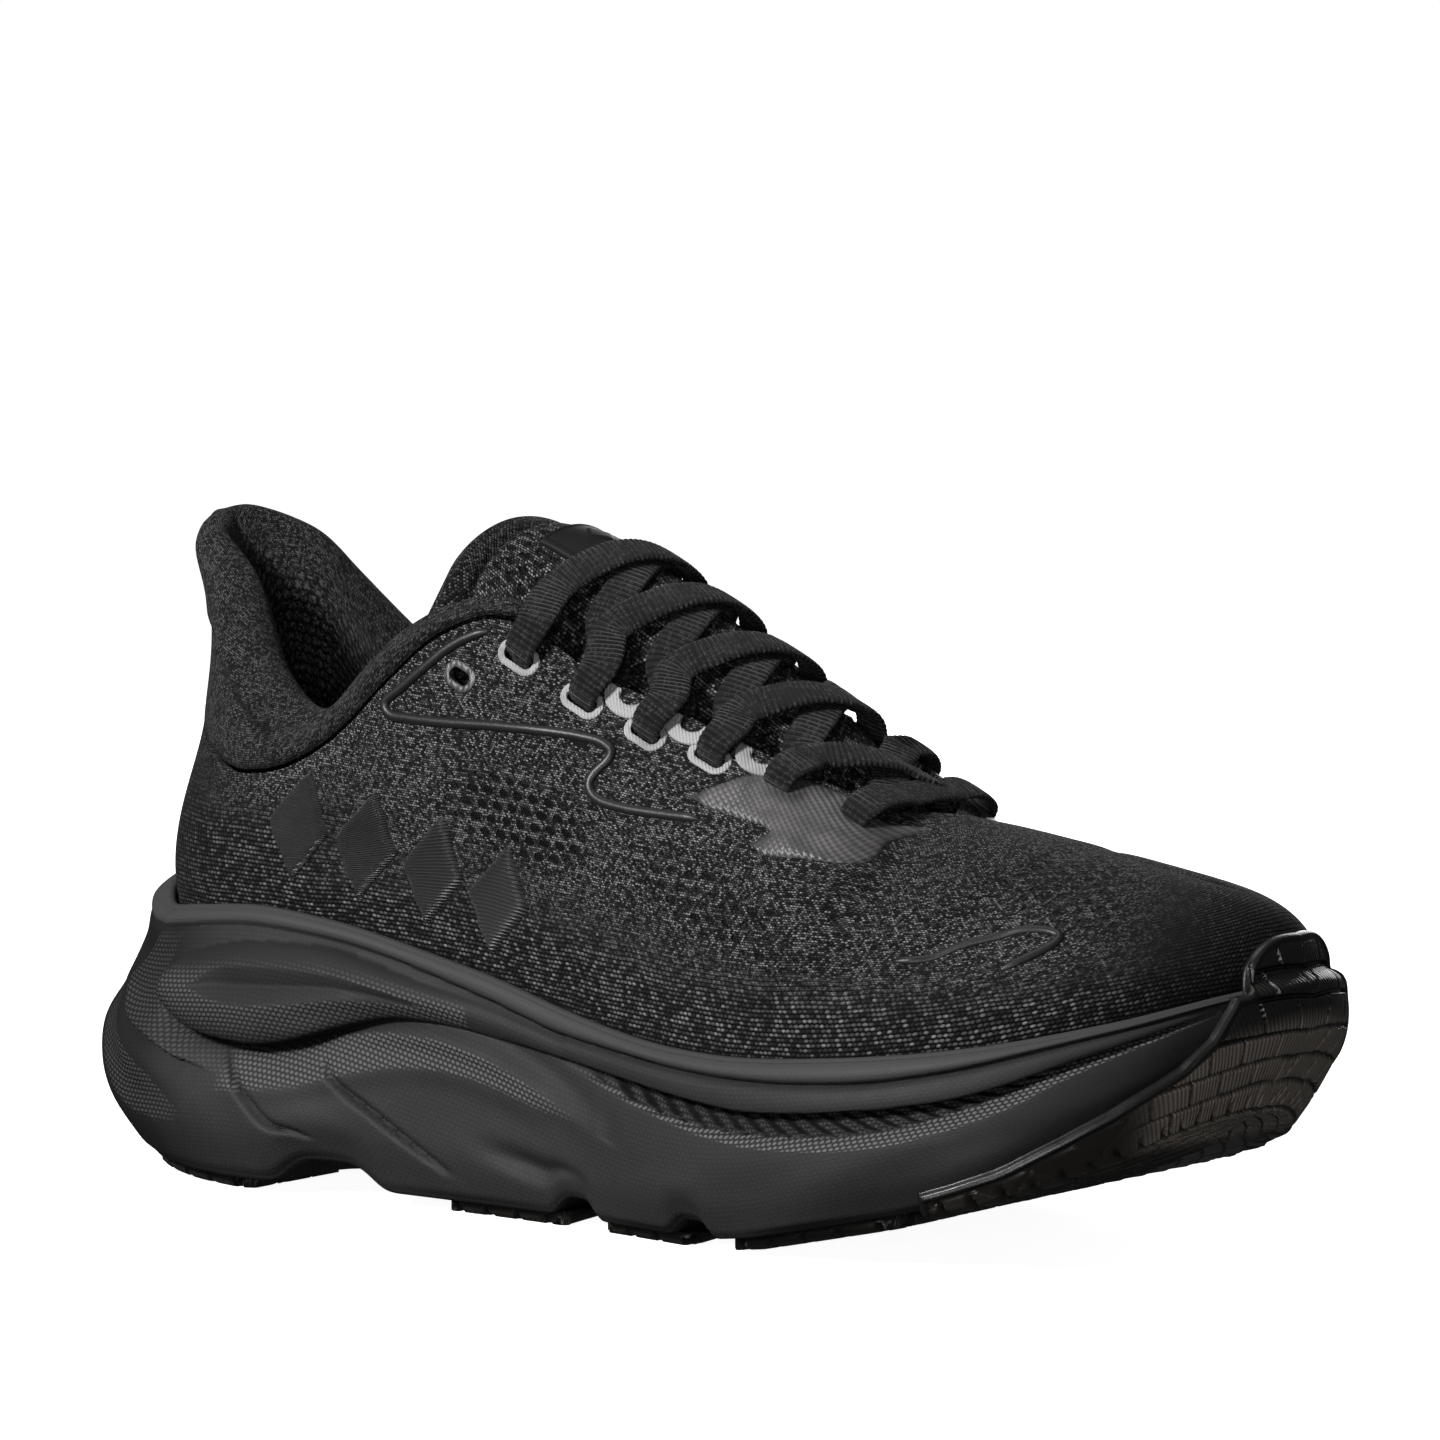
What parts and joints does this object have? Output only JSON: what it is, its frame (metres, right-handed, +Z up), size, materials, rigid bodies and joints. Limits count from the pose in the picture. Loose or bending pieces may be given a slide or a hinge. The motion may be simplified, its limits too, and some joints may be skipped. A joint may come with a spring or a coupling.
{
  "type": "running shoe",
  "caption": "Right-foot road running shoe with a thick rockered foam sole, rubber treads, knit upper, padded collar with a flared heel tab, padded tongue and flat laces.",
  "frame": {"origin": "centre of the footprint box on the ground", "axes": "+X to the toe, +Y to the inner (medial) side, +Z up; the ground is Z = 0"},
  "size_m": [0.2968, 0.1166, 0.1441],
  "materials": {
    "foam": "matte fine-textured foam",
    "outsole_rubber": "satin with fine ribs",
    "knit": "engineered knit",
    "lining": "soft knit and spacer mesh",
    "board": "non-woven board",
    "sockliner": "knit top cover on foam",
    "counter": "moulded",
    "lace": "woven, cross ribbed",
    "aglet": "gloss",
    "film_grey": "matte reflective film",
    "film_black": "satin bonded film and stitching"
  },
  "bodies": {
    "shoe": {"collar_foam": "foam", "collar_lining": "lining", "eyelet_ring_lateral_3": "film_grey", "eyelet_ring_lateral_4": "film_grey", "eyelet_ring_lateral_5": "film_grey", "eyelet_ring_lateral_6": "film_grey", "eyelet_ring_lateral_spare": "film_grey", "eyelet_ring_medial_3": "film_grey", "eyelet_ring_medial_4": "film_grey", "eyelet_ring_medial_5": "film_grey", "eyelet_ring_medial_6": "film_grey", "eyelet_ring_medial_spare": "film_grey", "heel_counter": "counter", "lace": "lace", "lace_tip_lateral": "aglet", "lace_tip_medial": "aglet", "midsole_foam": "foam", "outsole_forefoot_lateral": "outsole_rubber", "outsole_forefoot_medial": "outsole_rubber", "outsole_heel_lateral": "outsole_rubber", "outsole_heel_medial": "outsole_rubber", "outsole_midfoot_lateral_front": "outsole_rubber", "outsole_midfoot_lateral_rear": "outsole_rubber", "outsole_midfoot_medial": "outsole_rubber", "outsole_toe_wrap": "outsole_rubber", "quarter_line_lateral": "film_black", "quarter_line_medial": "film_black", "side_diamond_lateral_1": "film_black", "side_diamond_lateral_2": "film_black", "side_diamond_lateral_3": "film_black", "side_diamond_lateral_4": "film_black", "side_diamond_medial_1": "film_black", "side_diamond_medial_2": "film_black", "side_diamond_medial_3": "film_black", "side_diamond_medial_4": "film_black", "strobel_board": "board", "throat_film_lateral": "film_grey", "throat_film_medial": "film_grey", "throat_mark_lateral_1": "film_grey", "throat_mark_lateral_2": "film_grey", "throat_mark_lateral_3": "film_grey", "throat_mark_medial_1": "film_grey", "throat_mark_medial_2": "film_grey", "throat_mark_medial_3": "film_grey", "toe_line_lateral": "film_black", "toe_line_medial": "film_black", "toe_puff": "counter", "upper_knit": "knit"},
    "tongue": {"tongue": "knit", "tongue_label": "film_black"},
    "sockliner": {"sockliner": "sockliner"}
  },
  "joints": [
    {"name": "tongue_swing", "type": "hinge", "parent": "shoe", "child": "tongue", "pos_m": [0.07764, 0.00098, 0.0795], "axis": [0, 1, 0], "range_deg": [-15, 0], "stiffness_Nm_per_rad": 0.3},
    {"name": "sockliner_lift", "type": "hinge", "parent": "shoe", "child": "sockliner", "pos_m": [0.13464, 0.01108, 0.0415], "axis": [0, 1, 0], "range_deg": [0, 3]}
  ]
}
